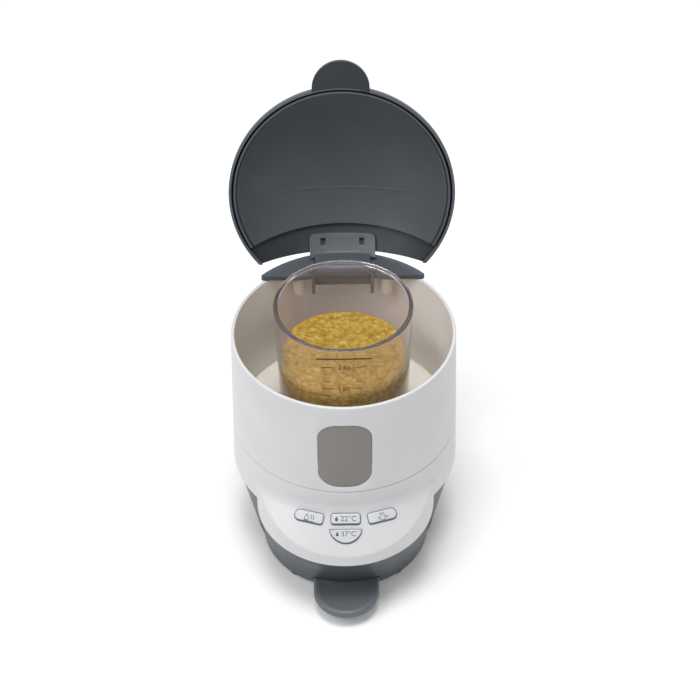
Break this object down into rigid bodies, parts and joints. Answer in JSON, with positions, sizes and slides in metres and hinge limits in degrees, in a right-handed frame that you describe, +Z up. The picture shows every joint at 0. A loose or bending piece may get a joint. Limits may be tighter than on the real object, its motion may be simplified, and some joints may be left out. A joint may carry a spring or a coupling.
{
  "type": "bottle warmer",
  "caption": "Round bottle and food warmer with a domed hinged lid, window, control lip with push keys, tapered base, pull-out tray and a graduated clear cup in its chamber.",
  "frame": {"origin": "centre of the footprint box at the height of the feet, with the lid open", "axes": "+Z up, -Y the front with the keys and the tray handle, +X to the right seen from the front"},
  "size_m": [0.1242, 0.177, 0.2591],
  "materials": {
    "white_plastic": "satin moulded",
    "smoked_window": "smoked clear plastic",
    "slate_plastic": "fine moulded grain",
    "key_plastic": "satin",
    "cream_plastic": "satin",
    "black_rubber": "matte",
    "red_silicone": "matte",
    "steel": "brushed",
    "heater_metal": "dull",
    "board_green": "solder mask",
    "black_plastic": "fine grain",
    "blue_sleeve": "shrink sleeve",
    "clear_plastic": "clear with a faint violet tint",
    "puree_food": "moist, stands in for vegetable puree"
  },
  "bodies": {
    "warmer": {"chamber_shell": "white_plastic", "window_lens": "smoked_window", "front_fascia": "white_plastic", "control_board": "board_green", "key_switch_1": "black_plastic", "key_switch_2": "black_plastic", "key_switch_3": "black_plastic", "key_switch_4": "black_plastic", "base_housing": "slate_plastic", "bottom_cover": "slate_plastic", "cover_screw_1": "steel", "cover_screw_2": "steel", "cover_screw_3": "steel", "cover_screw_4": "steel", "foot_1": "black_rubber", "foot_2": "black_rubber", "foot_3": "black_rubber", "foot_4": "black_rubber", "power_inlet": "black_plastic", "power_board": "board_green", "relay": "black_plastic", "capacitor": "blue_sleeve", "chamber_floor": "cream_plastic", "plate_seal": "red_silicone", "heating_plate": "steel", "heater_ring": "heater_metal", "thermostat": "black_plastic", "thermal_fuse": "cream_plastic", "water_sensor": "steel", "hinge_collar": "slate_plastic", "collar_post_left": "cream_plastic", "collar_post_right": "cream_plastic", "post_screw_left": "steel", "post_screw_right": "steel", "hinge_pin": "steel"},
    "lid": {"lid_shell": "slate_plastic", "lid_liner": "slate_plastic", "hinge_bracket": "slate_plastic"},
    "tray": {"drip_tray": "slate_plastic"},
    "cup_body": {"cup": "clear_plastic", "puree": "puree_food"},
    "bottle_key": {"key_bottle": "key_plastic"},
    "steam_key": {"key_steam": "key_plastic"},
    "key_22_body": {"key_22": "key_plastic"},
    "key_37_body": {"key_37": "key_plastic"}
  },
  "joints": [
    {"name": "lid_hinge", "type": "hinge", "parent": "warmer", "child": "lid", "pos_m": [0, 0.04541, 0.1435], "axis": [-1, 0, 0], "range_deg": [-106.5, 0]},
    {"name": "tray_slide", "type": "slide", "parent": "warmer", "child": "tray", "axis": [0, -1, 0], "range_m": [0, 0.055]},
    {"name": "cup_lift", "type": "slide", "parent": "warmer", "child": "cup_body", "axis": [0, 0, 1], "range_m": [0, 0.1]},
    {"name": "bottle_key_press", "type": "slide", "parent": "warmer", "child": "bottle_key", "axis": [0, -0.6157, 0.788], "range_m": [-0.001, 0], "stiffness_N_per_m": 400},
    {"name": "steam_key_press", "type": "slide", "parent": "warmer", "child": "steam_key", "axis": [0, -0.6157, 0.788], "range_m": [-0.001, 0], "stiffness_N_per_m": 400},
    {"name": "key_22_press", "type": "slide", "parent": "warmer", "child": "key_22_body", "axis": [0, -0.6157, 0.788], "range_m": [-0.001, 0], "stiffness_N_per_m": 400},
    {"name": "key_37_press", "type": "slide", "parent": "warmer", "child": "key_37_body", "axis": [0, -0.6157, 0.788], "range_m": [-0.001, 0], "stiffness_N_per_m": 400}
  ]
}
